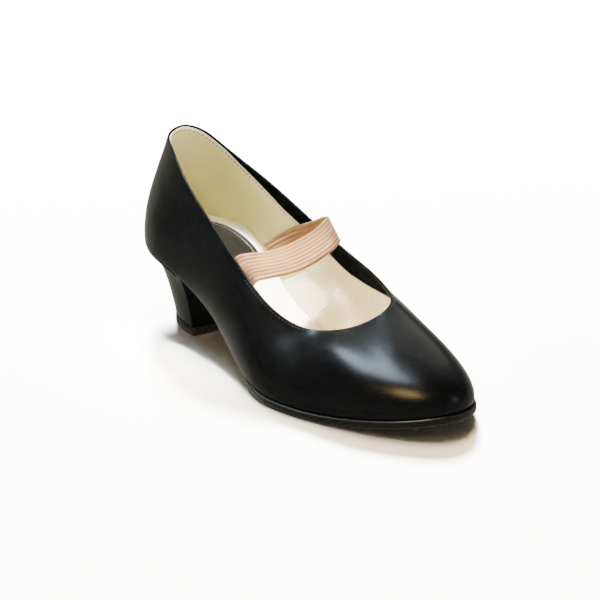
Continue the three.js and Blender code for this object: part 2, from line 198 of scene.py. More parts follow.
class Last:
    """The last that the shoe is drawn over. Points are in metres in the part's frame; u counts rows round the
    shoe from the back of the heel, and v goes up the wall from the feather edge (0) to the topline (1)."""

    def __init__(self, sizes):
        self.sizes = sizes
        sole_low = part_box("outsole")[0]
        pad_low, pad_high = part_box("heel_pad")
        middle = (pad_low.y + pad_high.y) / 2 - sizes.pad_shift
        self.origin = np.array([sole_low.x + sizes.waist_margin, middle, 0.0])

    def place(self, x, y, z):
        return np.stack(np.broadcast_arrays(x, y, z), axis=-1) + self.origin

    def feather_height(self, x):
        """Height of the feather edge above the floor, x from the back: seat, shank, ball and toe spring."""
        sizes = self.sizes
        along = x / sizes.length
        shank = np.clip((along - SEAT_END) / (BALL_START - SEAT_END), 0, 1)
        rise = 0.5 + 0.5 * np.cos(math.pi * shank)
        ball = sizes.sole_thickness + sizes.fit_gap
        spring = np.maximum(0, (along - SPRING_START) / (1 - SPRING_START)) ** 2
        return ball + (sizes.seat_height - ball) * rise + sizes.toe_spring * spring

    def feather_below(self, points):
        """The same, for points in the part's frame."""
        return self.feather_height(points[..., 0] - self.origin[0])

    def feather(self, u):
        x = column("along", u) * self.sizes.length
        return self.place(x, column("across", u) * self.sizes.ball_width, self.feather_height(x))

    def outward(self, u):
        """Level direction out of the shoe."""
        step = 0.02
        along = self.feather(u + step) - self.feather(u - step)
        return unit(np.stack([along[..., 1], -along[..., 0], 0 * along[..., 0]], axis=-1))

    def topline(self, u):
        sizes = self.sizes
        x = column("top_along", u) * sizes.length
        wall = column("heel", u) * sizes.back_height + column("throat", u) * sizes.throat_height
        return self.place(x, column("top_across", u) * sizes.ball_width, self.feather_height(x) + wall)

    def wall(self, u, v):
        """The outside of the upper."""
        u, v = np.broadcast_arrays(u, v)
        foot, top, out = self.feather(u), self.topline(u), self.outward(u)
        height = top[..., 2] - foot[..., 2]
        up = np.array([0.0, 0.0, 1.0])
        width = self.sizes.ball_width
        belly = (
            foot
            + out * (column("belly_out", u) * width)[..., None]
            + up * (column("belly_up", u) * height)[..., None]
        )
        neck = (
            top
            + out * (column("neck_out", u) * width)[..., None]
            - up * (column("neck_drop", u) * height)[..., None]
        )
        t = v[..., None]
        return (1 - t) ** 3 * foot + 3 * (1 - t) ** 2 * t * belly + 3 * (1 - t) * t**2 * neck + t**3 * top

    def frame(self, u, v):
        """Outside point, direction up the wall and direction out of the leather."""
        u, v = np.broadcast_arrays(np.asarray(u, float), np.asarray(v, float))
        step = 0.01
        low, high = np.maximum(0, v - step), np.minimum(1, v + step)
        around = self.wall(u + step, v) - self.wall(u - step, v)
        rising = unit(self.wall(u, high) - self.wall(u, low))
        normal = unit(np.cross(around, rising))
        level_up_to = 0.1
        blend = np.maximum(0, 1 - v / level_up_to)[..., None]
        normal = unit(normal * (1 - blend) + self.outward(u) * blend)
        return self.wall(u, v), rising, normal

    def wall_height(self, u):
        """Length of the wall from the feather edge to the topline, along the leather."""
        steps = np.linspace(0, 1, 33)
        path = self.wall(np.asarray(u, float)[..., None], steps)
        return np.linalg.norm(np.diff(path, axis=-2), axis=-1).sum(-1)

    def below_topline(self, u, distance):
        """v at a distance down the wall from the topline, measured along the leather."""
        steps = np.linspace(0, 1, 65)
        path = self.wall(np.asarray(u, float)[..., None], steps)
        down = np.linalg.norm(np.diff(path, axis=-2), axis=-1)[..., ::-1].cumsum(-1)
        down = np.concatenate([np.zeros(down.shape[:-1] + (1,)), down], axis=-1)
        flat_down = down.reshape(-1, len(steps))
        flat_distance = np.broadcast_to(distance, np.shape(u)).ravel()
        found = [np.interp(d, line, steps) for d, line in zip(flat_distance, flat_down)]
        return 1 - np.array(found).reshape(np.shape(u))

    def creases(self, u, v):
        """How far the leather swells out or sinks in at its soft creases."""
        u, v = np.broadcast_arrays(u, v)
        here = self.wall(u, v)
        swell = np.zeros(u.shape)
        through = 30 * MM  # spread through the shoe, so that a crease leaves the other side alone
        for row, share, spread_along, spread_up, height, slant in CREASES:
            centre, rising, normal = self.frame(row, share)
            along = unit(np.cross(rising, normal))
            turn = math.radians(slant)
            first = along * math.cos(turn) + rising * math.sin(turn)
            second = -along * math.sin(turn) + rising * math.cos(turn)
            offset = here - centre
            a = (offset @ first) / (spread_along * MM)
            b = (offset @ second) / (spread_up * MM)
            c = (offset @ normal) / through
            swell += height * MM * np.exp(-(a**2) - b**2 - c**2)
        return swell

    def towards_forepart(self, x, waist, forepart):
        """A size that goes over from its value at the waist to its value at the forepart."""
        return waist + (forepart - waist) * smoothstep(x / self.sizes.length, WAIST_END, BALL_START)

    def sole_thickness(self, x):
        return self.towards_forepart(x, self.sizes.waist_sole_thickness, self.sizes.sole_thickness)

    def sole_margin(self, x):
        return self.towards_forepart(x, self.sizes.waist_margin, self.sizes.sole_margin)


def mesh_object(name, points, faces, material, corner_uvs=None, second=None):
    """A closed smooth piece from points and faces, with its faces turned outwards. second is another material
    and, face by face, whether it is used there."""
    mesh = bpy.data.meshes.new(name)
    mesh.from_pydata([tuple(point) for point in np.asarray(points, float)], [], faces)
    if corner_uvs is not None:
        layer = mesh.uv_layers.new(name="surface")
        layer.data.foreach_set("uv", np.asarray(corner_uvs, float).ravel())
    if second is not None:
        mesh.polygons.foreach_set("material_index", np.asarray(second[1], int))
    tidy = bmesh.new()
    tidy.from_mesh(mesh)
    weld_distance = 1e-6
    bmesh.ops.remove_doubles(tidy, verts=tidy.verts, dist=weld_distance)
    bmesh.ops.dissolve_degenerate(tidy, edges=tidy.edges, dist=weld_distance)
    bmesh.ops.recalc_face_normals(tidy, faces=tidy.faces)
    tidy.to_mesh(mesh)
    tidy.free()
    mesh.shade_smooth()
    mesh.materials.append(material)
    if second is not None:
        mesh.materials.append(second[0])
    piece = bpy.data.objects.new(name, mesh)
    bpy.context.scene.collection.objects.link(piece)
    return piece


def grid_faces(rows, columns, close_rows=False, close_columns=False):
    """Quads between neighbouring rows and columns of a grid of points."""
    faces = []
    for r in range(rows if close_rows else rows - 1):
        here, there = r * columns, (r + 1) % rows * columns
        for c in range(columns if close_columns else columns - 1):
            d = (c + 1) % columns
            faces.append((here + c, here + d, there + d, there + c))
    return faces


def tube_faces(rows, ring):
    """Faces of a tube with so many rows of so many points round it, closed at both ends."""
    ends = [tuple(range(ring)), tuple(reversed(range((rows - 1) * ring, rows * ring)))]
    return grid_faces(rows, ring, close_columns=True) + ends


def tube_uvs(uv):
    """Corner coordinates for tube_faces, from a grid with one more point in each ring."""
    r, c = np.meshgrid(np.arange(uv.shape[0] - 1), np.arange(uv.shape[1] - 1), indexing="ij")
    corners = np.stack([uv[r, c], uv[r, c + 1], uv[r + 1, c + 1], uv[r + 1, c]], axis=2)
    return np.concatenate([corners.reshape(-1, 2), uv[0, :-1], uv[-1, :-1][::-1]])


def ladder(ring, rungs, height_at):
    """Points across a ring whose points i and count - i lie opposite each other, and the faces between them."""
    count = len(ring)
    half = count // 2
    left, right = ring[: half + 1], ring[(count - np.arange(half + 1)) % count]
    share = np.linspace(0, 1, rungs)[None, :, None]
    grid = left[:, None] * (1 - share) + right[:, None] * share
    grid[..., 2] = height_at(grid)
    return grid.reshape(-1, 3), grid_faces(half + 1, rungs)


def joined_piece(name, blocks, material):
    """Many meshes, each given as its points and faces, as one piece."""
    points, faces = [], []
    start = 0
    for block_points, block_faces in blocks:
        points.append(block_points)
        faces += [tuple(corner + start for corner in face) for face in block_faces]
        start += len(block_points)
    return mesh_object(name, np.concatenate(points), faces, material)


def stacked_piece(name, rings, material, rungs, bottom_at, top_at):
    """A closed piece from rings stacked from the bottom up, with a fine surface across at both ends."""
    rings = np.asarray(rings)
    side = rings.reshape(-1, 3), grid_faces(*rings.shape[:2], close_columns=True)
    ends = ladder(rings[0], rungs, bottom_at), ladder(rings[-1], rungs, top_at)
    return joined_piece(name, (side, *ends), material)


def thread_block(path, normals, radius, flatten=0.7, sides=6):
    """A short length of thread along a path, pulled to a point at both ends."""
    path, normals = np.asarray(path), unit(np.asarray(normals))
    along = unit(np.gradient(path, axis=0))
    across = unit(np.cross(along, normals))
    lift = unit(np.cross(across, along))
    share = np.linspace(-1, 1, len(path))
    full = radius * np.sqrt(np.maximum(0.03, 1 - share**4))
    angles = np.linspace(0, 2 * math.pi, sides, endpoint=False)
    rings = (
        path[:, None]
        + across[:, None] * (np.cos(angles)[None, :, None] * full[:, None, None])
        + lift[:, None] * (np.sin(angles)[None, :, None] * full[:, None, None] * flatten)
    )
    return rings.reshape(-1, 3), tube_faces(len(path), sides)


def srgb(code):
    """An sRGB hex colour as the linear values that a shader takes."""
    channels = [int(code[i : i + 2], 16) / 255 for i in (1, 3, 5)]
    linear = [c / 12.92 if c <= 0.04045 else ((c + 0.055) / 1.055) ** 2.4 for c in channels]
    return (*linear, 1.0)


def shaded(colour, share):
    """A linear colour made lighter or darker."""
    return (*(c * share for c in colour[:3]), 1.0)


def add_node(tree, kind, values=None, links=None, **fields):
    """Adds a node, sets its fields and socket values, and links its inputs."""
    node = tree.nodes.new(kind)
    for name, value in fields.items():
        setattr(node, name, value)
    for socket, value in (values or {}).items():
        node.inputs[socket].default_value = value
    for socket, source in (links or {}).items():
        tree.links.new(source, node.inputs[socket])
    return node


def new_material(name):
    material = bpy.data.materials.new(name)
    material.use_nodes = True
    tree = material.node_tree
    tree.nodes.clear()
    return material, tree


def finish_material(material, tree, values, links):
    shader = add_node(tree, "ShaderNodeBsdfPrincipled", values, links)
    add_node(tree, "ShaderNodeOutputMaterial", links={"Surface": shader.outputs["BSDF"]})
    return material


def two_tone(tree, factor, first, second):
    """A colour between two others, each a fixed colour or the output of a node. The Mix node takes colours at
    its inputs 6 and 7 and gives one at its output 2."""
    values, links = {}, {0: factor}
    for socket, colour in ((6, first), (7, second)):
        (links if isinstance(colour, bpy.types.NodeSocket) else values)[socket] = colour
    return add_node(tree, "ShaderNodeMix", values, links, data_type="RGBA").outputs[2]


def leather_material(name, colour, roughness, pore_pitch, pore_depth, wave, ior=1.5, specular=0.5, margin=None):
    """Calf leather, drum dyed and pressed smooth with a thin finish: an even colour with a soft satin shine
    that breaks up a little over fine pores and hand-lasted unevenness. margin is the colour and width of a
    lining's edge above its stitches, pressed flat and paler than the rest."""
    material, tree = new_material(name)
    place = add_node(tree, "ShaderNodeTexCoord").outputs["Object"]
    pores = add_node(
        tree, "ShaderNodeTexVoronoi", {"Scale": 1 / pore_pitch, "Randomness": 1.0}, {"Vector": place},
        feature="DISTANCE_TO_EDGE",
    ).outputs["Distance"]
    fine, broad = (
        add_node(
            tree, "ShaderNodeTexNoise", {"Scale": scale, "Detail": detail, "Roughness": rough},
            {"Vector": place},
        ).outputs["Fac"]
        for scale, detail, rough in ((0.6 / pore_pitch, 4.0, 0.6), (1 / (34 * MM), 3.0, 0.5))
    )
    base = two_tone(tree, broad, shaded(colour, 0.84), shaded(colour, 1.18))
    if margin is not None:
        margin_colour, width = margin
        surface = add_node(tree, "ShaderNodeUVMap", uv_map="surface").outputs["UV"]
        down = add_node(tree, "ShaderNodeSeparateXYZ", links={0: surface}).outputs["Y"]
        above = add_node(
            tree, "ShaderNodeMapRange", {"From Min": width * 0.8, "From Max": width * 1.1}, {"Value": down},
        ).outputs[0]
        base = two_tone(tree, above, margin_colour, base)
    rough = add_node(
        tree, "ShaderNodeMapRange", {"To Min": roughness - 0.05, "To Max": roughness + 0.06}, {"Value": broad},
    ).outputs[0]
    normal = {}
    for strength, depth, height in ((1.0, wave, broad), (0.5, pore_depth, pores), (0.35, pore_depth, fine)):
        bump = add_node(
            tree, "ShaderNodeBump", {"Strength": strength, "Distance": depth}, {"Height": height, **normal},
        )
        normal = {"Normal": bump.outputs["Normal"]}
    return finish_material(
        material, tree, {"IOR": ior, "Specular IOR Level": specular},
        {"Base Color": base, "Roughness": rough, **normal},
    )


def woven_material(name, colour, pitch, depth, roughness):
    """Cloth woven of two threads at right angles, laid flat: matt, with a regular grid of small shadows
    between its threads."""
    material, tree = new_material(name)
    place = add_node(tree, "ShaderNodeUVMap", uv_map="surface").outputs["UV"]
    apart = add_node(tree, "ShaderNodeSeparateXYZ", links={0: place})
    waves = []
    for axis in ("X", "Y"):
        wave = add_node(
            tree, "ShaderNodeMath", {1: 2 * math.pi / pitch}, {0: apart.outputs[axis]}, operation="MULTIPLY",
        ).outputs[0]
        for operation in ("SINE", "ABSOLUTE"):
            wave = add_node(tree, "ShaderNodeMath", links={0: wave}, operation=operation).outputs[0]
        waves.append(wave)
    threads = add_node(
        tree, "ShaderNodeMath", links={0: waves[0], 1: waves[1]}, operation="MULTIPLY",
    ).outputs[0]
    drawn_out = add_node(
        tree, "ShaderNodeVectorMath", {1: (1.0, 0.12, 1.0)}, {0: place}, operation="MULTIPLY",
    ).outputs[0]
    slub = add_node(
        tree, "ShaderNodeTexNoise", {"Scale": 1.2 / pitch, "Detail": 4.0, "Roughness": 0.7},
        {"Vector": drawn_out},
    ).outputs["Fac"]
    shade = shaded(colour, 0.45)
    gap = add_node(
        tree, "ShaderNodeMapRange", {"From Max": 0.4, "To Min": 0.6, "To Max": 0.0}, {"Value": threads},
    ).outputs[0]
    crumb = add_node(
        tree, "ShaderNodeMapRange", {"From Min": 0.35, "From Max": 0.7, "To Max": 0.3}, {"Value": slub},
    ).outputs[0]
    base = two_tone(tree, crumb, two_tone(tree, gap, colour, shade), shade)
    bump = add_node(
        tree, "ShaderNodeBump", {"Strength": 0.8, "Distance": depth}, {"Height": threads},
    ).outputs["Normal"]
    return finish_material(
        material, tree, {"Roughness": roughness, "Sheen Weight": 0.15, "Sheen Roughness": 0.5},
        {"Base Color": base, "Normal": bump},
    )


def sock_material(name, colour, roughness):
    """Smooth sheep or imitation leather, pressed on a board: nearly flat and pale, with a faint fine grain."""
    return leather_material(
        name, colour, roughness, pore_pitch=1.1 * MM, pore_depth=0.04 * MM, wave=0.05 * MM,
    )


def moulded_material(name, colour, roughness, speck_pitch, speck_depth):
    """Rubber pressed in a mould and buffed: even and dull, with a fine sanded tooth."""
    material, tree = new_material(name)
    place = add_node(tree, "ShaderNodeTexCoord").outputs["Object"]
    tooth, cloud = (
        add_node(tree, "ShaderNodeTexNoise", values, {"Vector": place}).outputs["Fac"]
        for values in (
            {"Scale": 1 / speck_pitch, "Detail": 5.0, "Roughness": 0.7},
            {"Scale": 1 / (20 * MM), "Detail": 2.0},
        )
    )
    base = two_tone(tree, cloud, shaded(colour, 0.8), shaded(colour, 1.3))
    rough = add_node(
        tree, "ShaderNodeMapRange", {"To Min": roughness - 0.08, "To Max": roughness + 0.08}, {"Value": cloud},
    ).outputs[0]
    bump = add_node(
        tree, "ShaderNodeBump", {"Strength": 0.6, "Distance": speck_depth}, {"Height": tooth},
    ).outputs["Normal"]
    return finish_material(
        material, tree, {"IOR": 1.52, "Specular IOR Level": 0.15},
        {"Base Color": base, "Roughness": rough, "Normal": bump},
    )


def thread_material(name, colour):
    """Bonded polyester thread, twisted and waxed: a slight sheen on a dense dark or pale cord."""
    material, tree = new_material(name)
    place = add_node(tree, "ShaderNodeTexCoord").outputs["Object"]
    twist = add_node(
        tree, "ShaderNodeTexNoise", {"Scale": 1 / (0.4 * MM), "Detail": 2.0}, {"Vector": place},
    ).outputs["Fac"]
    return finish_material(
        material, tree, {"Roughness": 0.7, "Specular IOR Level": 0.15, "Sheen Weight": 0.05},
        {"Base Color": two_tone(tree, twist, shaded(colour, 0.7), shaded(colour, 1.3))},
    )


def elastic_material(name, colour, shade, pick_pitch):
    """Braided elastic, rubber cords wrapped and bound in matt polyester yarn: fine crosswise yarns over each
    cord, with painted shade darkening the furrows between cords."""
    material, tree = new_material(name)
    place = add_node(tree, "ShaderNodeUVMap", uv_map="surface").outputs["UV"]
    apart = add_node(tree, "ShaderNodeSeparateXYZ", links={0: place})
    picks = add_node(
        tree, "ShaderNodeMath", {1: 2 * math.pi / pick_pitch}, {0: apart.outputs["X"]}, operation="MULTIPLY",
    ).outputs[0]
    picks = add_node(tree, "ShaderNodeMath", links={0: picks}, operation="SINE").outputs[0]
    height = add_node(
        tree, "ShaderNodeMapRange", {"From Min": -1.0, "From Max": 1.0}, {"Value": picks},
    ).outputs[0]
    # Painted shade: towards the furrows between cords the colour goes over to the shade colour.
    furrow = add_node(
        tree, "ShaderNodeMapRange", {"From Max": 0.5, "To Min": 0.55, "To Max": 0.0},
        {"Value": apart.outputs["Y"]},
    ).outputs[0]
    fuzz = add_node(
        tree, "ShaderNodeTexNoise", {"Scale": 0.9 / MM, "Detail": 3.0}, {"Vector": place},
    ).outputs["Fac"]
    yarn = add_node(tree, "ShaderNodeMapRange", {"To Max": 0.22}, {"Value": fuzz}).outputs[0]
    base = two_tone(tree, yarn, two_tone(tree, furrow, colour, shade), shade)
    bump = add_node(
        tree, "ShaderNodeBump", {"Strength": 0.7, "Distance": 0.1 * MM}, {"Height": height},
    ).outputs["Normal"]
    return finish_material(
        material, tree,
        {"Roughness": 0.75, "Specular IOR Level": 0.3, "Sheen Weight": 0.1, "Sheen Roughness": 0.5},
        {"Base Color": base, "Normal": bump},
    )


def length_property(label, description, millimetres):
    return FloatProperty(
        name=label, description=description, default=millimetres * MM, unit="LENGTH", subtype="DISTANCE",
        precision=4,
    )


def angle_property(label, description, degrees):
    return FloatProperty(name=label, description=description, default=math.radians(degrees), subtype="ANGLE")


def power_property(label, description, watts):
    return FloatProperty(name=label, description=description, default=watts, unit="POWER")


def colour_property(label, description, code):
    return StringProperty(name=label, description=description, default=code)


class ShoeSizes(bpy.types.PropertyGroup):
    """Sizes of the last and of the parts built on it."""

    length: length_property("Length", "Feather edge from the back of the heel to the tip of the toe", 240)
    ball_width: length_property("Ball width", "Feather edge across the ball", 84.6)
    seat_height: length_property("Seat height", "Floor to the feather edge under the heel", 40.3)
    toe_spring: length_property("Toe spring", "Lift of the toe tip above the ball", 8.4)
    back_height: length_property("Back height", "Feather edge to the topline at the back of the heel", 52.4)
    throat_height: length_property("Throat height", "Feather edge at the toe to the middle of the throat", 40.8)
    upper_wall: length_property("Wall", "Leather and lining together", 1.8)
    lining_thickness: length_property("Lining", "Lining alone", 0.4)
    sole_thickness: length_property("Sole", "Forepart of the outsole", 3.6)
    waist_sole_thickness: length_property("Waist sole", "Outsole under the waist and heel seat", 1.6)
    sole_margin: length_property("Sole margin", "Outsole beyond the feather edge at the forepart", 1.5)
    waist_margin: length_property("Waist margin", "The same at the waist and seat: tucked under", -0.8)
    insole_thickness: length_property("Insole", "Insole with its sock", 2.2)
    fit_gap: length_property("Gap", "Room between pieces of the frame that meet", 0.3)
    breast_from_back: length_property("Heel breast", "Flat front of the heel from the back of the shoe", 59)
    heel_inset: length_property("Heel inset", "Top of the heel inside the outsole's edge", 0.2)
    heel_base_length: length_property("Heel base length", "Base of the heel, back to breast", 34.5)
    heel_base_width: length_property("Heel base width", "Base of the heel across", 41.4)
    heel_base_shift: length_property("Heel base shift", "Middle of the base from the middle line", -0.5)
    top_piece_thickness: length_property("Top piece", "Thickness of the heel's top piece", 4.4)
    pad_thickness: length_property("Pad thickness", "Heel pad", 0.8)
    pad_length: length_property("Pad length", "Heel pad, front to back", 66)
    pad_width: length_property("Pad width", "Heel pad across", 39)
    pad_from_back: length_property("Pad from back", "Back of the heel pad from the back of the shoe", 12)
    pad_shift: length_property("Pad shift", "Middle of the pad from the middle line", -1.5)
    strap_thickness: length_property("Strap thickness", "Elastic strap over its cords", 1.3)
    strap_cords: IntProperty(name="Strap cords", description="Cords side by side in the strap", default=8)


class ShoeColours(bpy.types.PropertyGroup):
    """Colours of the shoe's materials, as sRGB hex values."""

    leather: colour_property("Leather", "Upper and heel cover", "#060708")
    sole: colour_property("Sole", "Outsole", "#070707")
    top_piece: colour_property("Top piece", "Top piece of the heel", "#060606")
    quarter_lining: colour_property("Quarter lining", "Leather lining round the heel", "#e4dca4")
    lining_margin: colour_property("Lining margin", "Edge of the quarter lining above its stitches", "#e6dcc4")
    vamp_lining: colour_property("Vamp lining", "Canvas lining of the forepart", "#fbecc6")
    sock: colour_property("Sock", "Insole cover", "#f8f5ea")
    pad: colour_property("Pad", "Heel pad", "#0b0808")
    elastic: colour_property("Elastic", "Strap", "#6c481a")
    # Painted shade for the furrows between the strap's cords.
    elastic_shade: colour_property("Elastic furrows", "Strap between its cords", "#43210a")
    thread: colour_property("Thread", "Stitches", "#2a2724")


class StageSettings(bpy.types.PropertyGroup):
    """Camera, floor and lights."""

    azimuth: angle_property("Azimuth", "Camera round the shoe", 54.22)
    elevation: angle_property("Elevation", "Camera above the floor", 20.49)
    roll: angle_property("Roll", "Camera turned about its axis", 0.65)
    distance: length_property("Distance", "Camera to the middle of the shoe", 2500)
    strip_power: power_property("Strip light", "Narrow light overhead", 175.0)
    back_power: power_property("Back light", "Soft light low behind", 2000.0)
    warm_power: power_property("Warm light", "Soft warm light high behind", 100.0)
    top_power: power_property("Top light", "Soft light from above", 140.0)
    inner_power: power_property("Inner light", "Narrow light down into the shoe", 0.55)
    sky_power: power_property("Sky card", "Dim card behind, seen in the vamp", 15.0)
    lamp_power: power_property("Lamp", "Small warm light", 90.0)
    toe_power: power_property("Toe light", "Small light beside the toe", 8.0)
    floor_colour: colour_property("Floor", "Plain pale floor", "#f7f7f5")


def settings(context):
    scene = context.scene
    return scene.shoe_sizes, scene.shoe_colours, Last(scene.shoe_sizes)


def wall_profile(last, u, thickness, outside_rows, inside_rows, rim_steps):
    """Closed profiles round the shoe: up the outside, over the rounded topline and down the inside."""

    def under(v, depth):
        point, _, out = last.frame(u, v)
        return point - out * depth + out * last.creases(u, v)[..., None]

    radius, step = thickness / 2, 0.005
    speed = np.linalg.norm(last.wall(u, 1.0) - last.wall(u, 1 - step), axis=-1) / step
    v_rim = 1 - radius / speed
    crowded = 1.15  # above 1 the outside rows lie closer together towards the topline
    rows = [under(v_rim * (1 - (1 - share) ** crowded), 0.0) for share in np.linspace(0, 1, outside_rows)]
    middle = under(v_rim, radius)
    _, rising, normal = last.frame(u, v_rim)
    for angle in np.linspace(0, math.pi, rim_steps + 2)[1:-1]:
        rows.append(middle + normal * radius * math.cos(angle) + rising * radius * math.sin(angle))
    rows += [under(v_rim * share, thickness) for share in np.linspace(1, 0, inside_rows)]
    return np.stack(rows, axis=1)


class SHOE_OT_upper(bpy.types.Operator):
    """Builds the leather upper with its rolled topline"""

    bl_idname = "shoe.upper"
    bl_label = "Leather upper"

    def execute(self, context):
        sizes, colours, last = settings(context)
        outside_rows, inside_rows, rim_steps = 46, 26, 9
        thickness = sizes.upper_wall - sizes.lining_thickness
        profile = wall_profile(last, np.arange(0, ROWS, 0.05), thickness, outside_rows, inside_rows, rim_steps)
        rows, columns = profile.shape[:2]
        leather = leather_material(
            "black box calf, drum dyed and pressed smooth", srgb(colours.leather), roughness=0.245,
            pore_pitch=0.55 * MM, pore_depth=0.03 * MM, wave=0.5 * MM, ior=1.4, specular=0.055,
        )
        facing = leather_material(
            "black facing leather, unglazed", srgb(colours.leather), roughness=0.6,
            pore_pitch=0.55 * MM, pore_depth=0.03 * MM, wave=0.2 * MM, ior=1.4, specular=0.01,
        )
        # The glaze runs over the rim and ends near its inner side.
        inside = np.tile(np.arange(columns) >= outside_rows + rim_steps - 2, rows)
        faces = grid_faces(rows, columns, close_rows=True, close_columns=True)
        piece = mesh_object("upper_leather", profile.reshape(-1, 3), faces, leather, second=(facing, inside))
        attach(piece, "root")
        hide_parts("upper")
        return {"FINISHED"}


def facing_width(u):
    return np.interp(u % ROWS, FACING_ROWS, FACING_WIDTHS) * MM


def lining_piece(last, name, start, end, material, lift=0.0):
    """A sheet of lining glued inside the wall, from the insole up to its edge below the topline. start and end
    are its rows round the shoe, each at the insole and at the topline."""
    sizes = last.sizes
    outer = sizes.upper_wall - sizes.lining_thickness
    inner = sizes.upper_wall + lift
    column_step, edge_from = 0.06, 0.985  # the sheet's top edge is rounded from this share of its height
    across = np.linspace(0, 1, int((max(end) - min(start)) / column_step))
    at_top = start[1] + (end[1] - start[1]) * across
    facing = facing_width(at_top)
    v_top = last.below_topline(at_top, facing)
    height = last.wall_height(at_top) - facing
    outside, inside, down = [], [], []
    for share in np.linspace(0, 1, 34):
        first, final = (ends[0] + (ends[1] - ends[0]) * share for ends in (start, end))
        u = first + (final - first) * across
        point, _, out = last.frame(u, v_top * share)
        rounding = (inner - outer) * max(0, (share - edge_from) / (1 - edge_from)) * 0.5
        outside.append(point - out * outer)
        inside.append(point - out * (inner - rounding))
        down.append((1 - share) * height)
    grid = np.stack(outside + inside[::-1], axis=1)
    around = walked_along(last.wall(at_top, 0.7))
    down = np.stack(down + down[::-1] + down[:1], axis=1)
    uv = np.stack(np.broadcast_arrays(around[:, None], down), axis=-1)
    return mesh_object(name, grid.reshape(-1, 3), tube_faces(*grid.shape[:2]), material, tube_uvs(uv))


class SHOE_OT_linings(bpy.types.Operator):
    """Builds the leather quarter lining and the canvas vamp lining"""

    bl_idname = "shoe.linings"
    bl_label = "Linings"

    def execute(self, context):
        _, colours, last = settings(context)
        lateral_seam, medial_seam = np.array([4.4, 5.1]), np.array([15.9, 14.9])
        lap = 0.35
        # A thread's real pitch of about 0.6 mm is too fine to show at the picture's 2 px per mm: the weave is
        # drawn with a thread every 1.4 mm, half its wave's 2.8 mm.
        canvas = woven_material(
            "cotton canvas, plain woven and left matt", srgb(colours.vamp_lining), pitch=2.8 * MM,
            depth=0.2 * MM, roughness=0.85,
        )
        calf = leather_material(
            "tan lining leather, vegetable tanned and unglazed", srgb(colours.quarter_lining), roughness=0.6,
            pore_pitch=0.8 * MM, pore_depth=0.03 * MM, wave=0.3 * MM,
            margin=(srgb(colours.lining_margin), 1.6 * MM),
        )
        vamp = lining_piece(last, "vamp_lining", lateral_seam - lap, medial_seam + lap, canvas)
        quarter = lining_piece(last, "quarter_lining", medial_seam, lateral_seam + ROWS, calf, QUARTER_LIFT)
        for piece in (vamp, quarter):
            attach(piece, "root")
        return {"FINISHED"}


def stitches_along(path, normals, count, pitch, gap, radius, bow):
    """Stitches along a path, each bowed from its sunk ends out of the leather, by shares of its radius."""
    walked = walked_along(path)
    blocks = []
    for index in range(count):
        places = np.linspace(index * pitch + gap / 2, (index + 1) * pitch - gap / 2, len(bow))
        out = unit(at_distances(places, walked, normals))
        centre = at_distances(places, walked, path) + out * np.array(bow)[:, None] * radius
        blocks.append(thread_block(centre, out, radius))
    return blocks


def stitch_row(last, u, distance, side, depth, pitch, gap, radius):
    """Stitches along the topline, a distance below it, on the outside (side 1) or inside (-1) of the wall."""
    point, _, out = last.frame(u, last.below_topline(u, distance))
    surface = point - out * depth
    count = int(walked_along(surface)[-1] / pitch)
    return stitches_along(surface, side * out, count, pitch, gap, radius, (-0.5, 0.35, 0.6, 0.35, -0.5))


class SHOE_OT_stitches(bpy.types.Operator):
    """Builds the stitch rows of the lining and of the throat"""

    bl_idname = "shoe.stitches"
    bl_label = "Stitches"

    def execute(self, context):
        sizes, colours, last = settings(context)
        thread = thread_material("bonded polyester thread, waxed", srgb(colours.thread))
        black_thread = thread_material("black polyester thread", srgb("#070707"))
        below = 1.7 * MM
        around, front = np.arange(14.95, ROWS + 5.05, 0.01), np.arange(5.2, 14.8, 0.01)
        lining = stitch_row(
            last, around, facing_width(around) + below, side=-1, depth=sizes.upper_wall + QUARTER_LIFT,
            pitch=2.4 * MM, gap=0.7 * MM, radius=0.24 * MM,
        )
        throat = stitch_row(
            last, front, below, side=1, depth=0.0, pitch=2.1 * MM, gap=0.6 * MM, radius=0.2 * MM,
        )
        rows = (("lining_stitches", lining, thread), ("topline_stitches", throat, black_thread))
        for name, blocks, material in rows:
            piece = joined_piece(name, blocks, material)
            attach(piece, "root")
        return {"FINISHED"}


def edge_rings(last, u, margin, low, high, radius, steps):
    """Rings round the feather edge, stacked from the bottom up: a wall with two rounded edges. margin is its
    distance outside the feather edge, low and high its heights above it, each a function of x."""
    foot, out = last.feather(u), last.outward(u)
    x = foot[:, 0] - last.origin[0]
    rings = []
    for start, edge, lift in ((-math.pi / 2, low, radius), (0, high, -radius)):
        for angle in np.linspace(start, start + math.pi / 2, steps):
            distance = margin(x) - radius + radius * math.cos(angle)
            ring = foot + out * np.broadcast_to(distance, x.shape)[:, None]
            ring[:, 2] = last.feather_height(x) + edge(x) + lift + radius * math.sin(angle)
            rings.append(ring)
    return rings


